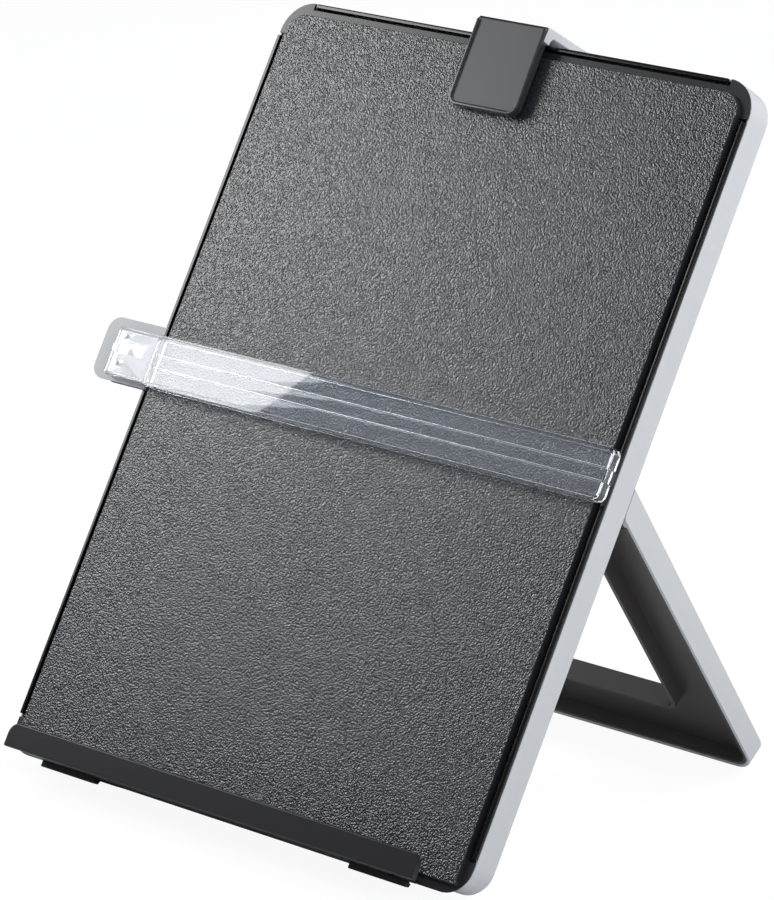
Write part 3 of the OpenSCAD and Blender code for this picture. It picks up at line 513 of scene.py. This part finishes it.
def thread(length_mm):
    """The ridge of a screw's thread, wound down a shank of this length."""
    half = RIDGE_HALF
    root = SCREW_CORE - RIDGE_SINK
    points = [(root, -half), (SCREW_CREST, 0), (root, half)]
    mesh = bpy.data.meshes.new("thread")
    mesh.from_pydata(
        [(x * MM, 0, (z - length_mm + 2 * half) * MM) for x, z in points],
        [(0, 1), (1, 2), (2, 0)],
        [],
    )
    obj = bpy.data.objects.new("thread", mesh)
    bpy.context.scene.collection.objects.link(obj)
    only(obj)
    wind = obj.modifiers.new("Wind", "SCREW")
    wind.screw_offset = SCREW_PITCH * MM
    wind.iterations = int((length_mm - SCREW_TIP) / SCREW_PITCH)
    wind.steps = 16
    wind.render_steps = 16
    wind.use_normal_calculate = True
    bpy.ops.object.modifier_apply(modifier=wind.name)
    bpy.ops.object.mode_set(mode="EDIT")
    bpy.ops.mesh.select_all(action="SELECT")
    bpy.ops.mesh.fill_holes(sides=3)
    bpy.ops.mesh.normals_make_consistent(inside=False)
    bpy.ops.object.mode_set(mode="OBJECT")
    return obj


def pan_head_screw(length_mm):
    """A screw with a domed head, a cross recess and a thread; its head sits on z = 0."""
    radius, height = SCREW_HEAD
    head = cylinder(radius, 0, height, 40)
    soften(head, 0.45, 4, 60)
    for angle in (0, 90):
        bpy.ops.mesh.primitive_cube_add(location=(0, 0, height * MM))
        cross = bpy.context.view_layer.objects.active
        cross.data.transform(Matrix.Diagonal((*[size * MM for size in CROSS], 1)))
        cross.rotation_euler.z = math.radians(angle)
        carve(head, cross)
    shank = cylinder(SCREW_CORE, -length_mm, 0.1)
    soften(shank, 0.4, 2, 60)
    return join([head, shank, thread(length_mm)], "screw")


def screws_of(node, name, place, body, axis="z"):
    """Replaces a node of plain screws by detailed ones, each in the place of its solid."""
    plain = working_copy(node, name + "_plain", place)
    boxes = islands(plain)
    bpy.data.objects.remove(plain)
    along = "xyz".index(axis)
    length = boxes[0][1][along] - boxes[0][0][along] - SCREW_HEAD[1]
    first = pan_head_screw(length)
    turn = Matrix.Rotation(math.pi if axis == "z" else math.pi / 2, 4, "X")
    made = []
    for index, (low, high) in enumerate(boxes):
        only(first)
        bpy.ops.object.duplicate()
        copy = bpy.context.view_layer.objects.active
        spot = (low + high) / 2
        spot[along] = low[along] + SCREW_HEAD[1]
        twist = Matrix.Rotation(math.radians(TWIST_STEP * index), 4, "Z")
        copy.data.transform(Matrix.Translation(spot * MM) @ turn @ twist)
        made.append(copy)
    bpy.data.objects.remove(first)
    group = join(made, name)
    paint(group, None, "zinc")
    settle(group, place, body, [node])


# ------------------------------------------------------------------ pieces


class HOLDER_OT_shell(bpy.types.Operator):
    """Silver rear shell of the board"""

    bl_idname = "holder.shell"
    bl_label = "Rear shell"

    def execute(self, context):
        edge = context.scene.holder.shell_edge
        simple_piece("rear_shell", "rear_shell_moulding", BOARD, "board", "silver", edge)
        return {"FINISHED"}


class HOLDER_OT_panel(bpy.types.Operator):
    """Front panel with its grained plate and smooth border"""

    bl_idname = "holder.panel"
    bl_label = "Front panel"

    def execute(self, context):
        panel = working_copy("front_panel", "front_panel_moulding", BOARD)
        soften(panel, context.scene.holder.panel_edge)

        def pick(middle, normal):
            return 1 if normal.z > 0.99 and middle.z > PLATE_N - 0.05 else 0

        paint(panel, pick, "satin", "grain")
        settle(panel, BOARD, "board", ["front_panel"])
        return {"FINISHED"}


class HOLDER_OT_rails(bpy.types.Operator):
    """Black strips outside the slots"""

    bl_idname = "holder.rails"
    bl_label = "Rails"

    def execute(self, context):
        for node in ("side_rails", "top_rail"):
            simple_piece(node, node + "_strip", BOARD, "board", "strip", 0.25)
        return {"FINISHED"}


class HOLDER_OT_ledge(bpy.types.Operator):
    """Paper ledge and its rubber feet"""

    bl_idname = "holder.ledge"
    bl_label = "Ledge and feet"

    def execute(self, context):
        ledge = working_copy("ledge", "paper_ledge", BOARD)
        # The photograph shows nothing beside the feet, so the tongues narrow towards the rear.
        half = TONGUE_HALF_W * MM
        for vert in ledge.data.vertices:
            middle = math.copysign(TONGUE_X * MM, vert.co.x)
            if vert.co.z < TONGUE_TAPER_N * MM and abs(vert.co.x - middle) > half:
                vert.co.x = middle + math.copysign(half, vert.co.x - middle)
        paint(ledge, None, "ledge")
        settle(ledge, BOARD, "board", ["ledge"])
        simple_piece("ledge_feet", "rubber_feet", BOARD, "board", "rubber", 0.3)
        return {"FINISHED"}


class HOLDER_OT_clip(bpy.types.Operator):
    """Sprung clip: arm, jaw, pad, bracket, pin and spring"""

    bl_idname = "holder.clip"
    bl_label = "Clip"

    def execute(self, context):
        simple_piece("clip_arm", "clip_lever", BOARD, "clip", "silver", 0.5, 3)
        jaw = working_copy("clip_jaw", "clip_front", BOARD)
        soften(jaw, 0.35, 3)

        def pick(middle, normal):
            return 1 if normal.z > 0.98 and middle.z < JAW_RECESS_N else 0

        paint(jaw, pick, "gloss", "recess")
        settle(jaw, BOARD, "clip", ["clip_jaw"])
        simple_piece("clip_bracket", "clip_hinge_bracket", BOARD, "board", "satin", 0.25)
        simple_piece("clip_pad", "clip_grip", BOARD, "clip", "rubber", 0.3)
        simple_piece("clip_pin", "clip_axle", BOARD, "board", "zinc", 0.25)
        spring = working_copy("clip_spring", "torsion_spring", BOARD)
        paint(spring, None, "spring")
        settle(spring, BOARD, "board", ["clip_spring"])
        return {"FINISHED"}


class HOLDER_OT_leg(bpy.types.Operator):
    """Folding rear leg: shell, liner, pads and hinges"""

    bl_idname = "holder.leg"
    bl_label = "Leg"

    def execute(self, context):
        simple_piece("leg_shell", "leg_outer", LEG, "easel_leg", "silver", 0.35)
        simple_piece("leg_liner", "leg_inner", LEG, "easel_leg", "liner", 0.25)
        simple_piece("leg_pads", "leg_foot_pads", LEG, "easel_leg", "rubber", 0.3)
        simple_piece("hinge_brackets", "leg_brackets", BOARD, "board", "satin", 0.25)
        simple_piece("hinge_pins", "leg_pins", BOARD, "board", "zinc", 0.3)
        simple_piece("friction_washers", "leg_washers", BOARD, "board", "zinc", 0.08)
        return {"FINISHED"}


class HOLDER_OT_guide(bpy.types.Operator):
    """Clear line guide with its tab, slider, hook and pins"""

    bl_idname = "holder.guide"
    bl_label = "Line guide"

    def execute(self, context):
        for node, name, finish, slot, edge in (
            ("guide_bar", "clear_bar", "clear", "clear", 0.2),
            ("guide_tab", "finger_tab", "frosted", "frosted", 0.2),
            ("guide_slider", "tab_carrier", "satin", "black", 0.12),
            ("guide_hook", "end_hook", "satin", "black", 0.12),
            ("guide_pins", "tab_pins", "zinc", "steel", 0.12),
            ("guide_friction_pads", "slide_pads", "rubber", "rubber", 0.12),
        ):
            simple_piece(node, name, BOARD, "line_guide", finish, edge)
        return {"FINISHED"}


class HOLDER_OT_screws(bpy.types.Operator):
    """Screws of the board, ledge, brackets and leg"""

    bl_idname = "holder.screws"
    bl_label = "Screws"

    def execute(self, context):
        screws_of("panel_screws", "back_screws", BOARD, "board")
        screws_of("ledge_screws", "screws_under_ledge", BOARD, "board", "y")
        screws_of("bracket_screws", "hinge_bracket_screws", BOARD, "board")
        screws_of("clip_bracket_screws", "clip_screws", BOARD, "board")
        screws_of("liner_screws", "leg_screws", LEG, "easel_leg")
        return {"FINISHED"}


class HOLDER_OT_stage(bpy.types.Operator):
    """Pale floor, soft studio light and the camera"""

    bl_idname = "holder.stage"
    bl_label = "Stage"

    def execute(self, context):
        scene = context.scene
        scene.view_settings.view_transform = "Standard"
        bpy.ops.object.select_all(action="DESELECT")
        bpy.ops.mesh.primitive_plane_add(size=8, location=(0, 0, -0.0005))
        floor = context.view_layer.objects.active
        floor.name = "floor"
        floor.data.materials.append(self.white_for_camera("Floor, white paper", "#e9e9ea"))

        world = bpy.data.worlds.new("Studio")
        scene.world = world
        world.use_nodes = True
        tree = world.node_tree
        tree.nodes.clear()
        path = add_node(tree, "ShaderNodeLightPath")
        seen = seen_directly(tree, path)
        glare = add_node(
            tree,
            "ShaderNodeMath",
            {0: path.outputs["Is Glossy Ray"], 1: GLOSSY_DIMMING, 2: STUDIO_LIGHT},
            operation="MULTIPLY_ADD",
        )
        light = add_node(
            tree,
            "ShaderNodeBackground",
            {"Color": hex_colour("#e6eaf0"), "Strength": glare.outputs["Value"]},
        )
        white = add_node(
            tree, "ShaderNodeBackground", {"Color": (1, 1, 1, 1), "Strength": 1.0}
        )
        both = add_node(
            tree,
            "ShaderNodeMixShader",
            {0: seen, 1: light.outputs[0], 2: white.outputs[0]},
        )
        add_node(tree, "ShaderNodeOutputWorld", {"Surface": both.outputs[0]})

        self.softbox("key", (-0.63, -0.29, 0.57), (0.0, 0.0, 0.16), 0.4, 3.8)
        self.softbox("rim", (0.9, -0.4, 0.63), (0.13, 0.0, 0.17), 0.4, 2.4)
        self.softbox("side", (0.52, 0.32, 0.58), (0.13, 0.04, 0.2), 0.3, 2)
        self.softbox("top", (0.2, 0.75, 1.6), (0.0, 0.0, 0.15), 1.0, 11)

        camera = bpy.data.objects.new("camera", bpy.data.cameras.new("camera"))
        scene.collection.objects.link(camera)
        camera.data.lens = CAMERA_LENS
        camera.data.sensor_width = SENSOR
        camera.data.sensor_height = SENSOR
        camera.data.clip_start = 0.05
        camera.data.clip_end = 20.0
        turn = (
            Matrix.Rotation(math.radians(CAMERA_AZIMUTH), 4, "Z")
            @ Matrix.Rotation(math.radians(90 - CAMERA_DIP), 4, "X")
            @ Matrix.Rotation(CAMERA_ROLL, 4, "Z")
        )
        camera.matrix_world = Matrix.Translation(CAMERA_PLACE) @ turn
        scene.camera = camera
        return {"FINISHED"}

    def softbox(self, name, place, aim, size, power):
        """A square lamp that points at aim."""
        lamp = bpy.data.lights.new(name, "AREA")
        lamp.size = size
        lamp.energy = power
        obj = bpy.data.objects.new(name, lamp)
        bpy.context.scene.collection.objects.link(obj)
        obj.location = place
        way = Vector(aim) - Vector(place)
        obj.rotation_euler = way.to_track_quat("-Z", "Y").to_euler()

    def white_for_camera(self, name, colour):
        """A pale floor that the camera sees nearly white, with the holder's shadow kept."""
        material, tree = new_material(name)
        path = add_node(tree, "ShaderNodeLightPath")
        seen = seen_directly(tree, path)
        share = add_node(
            tree, "ShaderNodeMath", {0: seen, 1: FLOOR_GLOW_SHARE}, operation="MULTIPLY"
        )
        paper = add_node(
            tree, "ShaderNodeBsdfDiffuse", {"Color": hex_colour(colour), "Roughness": 0.5}
        )
        glow = add_node(
            tree, "ShaderNodeEmission", {"Color": (1, 1, 1, 1), "Strength": FLOOR_GLOW}
        )
        both = add_node(
            tree,
            "ShaderNodeMixShader",
            {0: share.outputs["Value"], 1: paper.outputs[0], 2: glow.outputs[0]},
        )
        finish_material(tree, both.outputs[0])
        return material


class HolderSizes(bpy.types.PropertyGroup):
    """Sizes of the finishing"""

    shell_edge: bpy.props.FloatProperty(
        name="Shell edge", description="Rounding of the rear shell's edges, in millimetres",
        default=0.4, min=0.1, max=1.0,
    )
    panel_edge: bpy.props.FloatProperty(
        name="Panel edge", description="Rounding of the front panel's edges, in millimetres",
        default=0.25, min=0.1, max=0.6,
    )


class HOLDER_PT_sidebar(bpy.types.Panel):
    """Lists the copy holder's pieces"""

    bl_label = "Copy holder"
    bl_idname = "HOLDER_PT_sidebar"
    bl_space_type = "VIEW_3D"
    bl_region_type = "UI"
    bl_category = "Copy holder"

    def draw(self, context):
        for name in HolderSizes.__annotations__:
            self.layout.prop(context.scene.holder, name)
        for operator in PIECES:
            self.layout.operator(operator.bl_idname)


PIECES = (
    HOLDER_OT_stage,
    HOLDER_OT_shell,
    HOLDER_OT_panel,
    HOLDER_OT_rails,
    HOLDER_OT_ledge,
    HOLDER_OT_clip,
    HOLDER_OT_leg,
    HOLDER_OT_guide,
    HOLDER_OT_screws,
)
CLASSES = (HolderSizes, *PIECES, HOLDER_PT_sidebar)


def register():
    for cls in CLASSES:
        bpy.utils.register_class(cls)
    bpy.types.Scene.holder = bpy.props.PointerProperty(type=HolderSizes)


def unregister():
    del bpy.types.Scene.holder
    for cls in reversed(CLASSES):
        bpy.utils.unregister_class(cls)


def main():
    register()
    for operator in PIECES:
        group, name = operator.bl_idname.split(".")
        getattr(getattr(bpy.ops, group), name)()


if __name__ == "__main__":
    main()
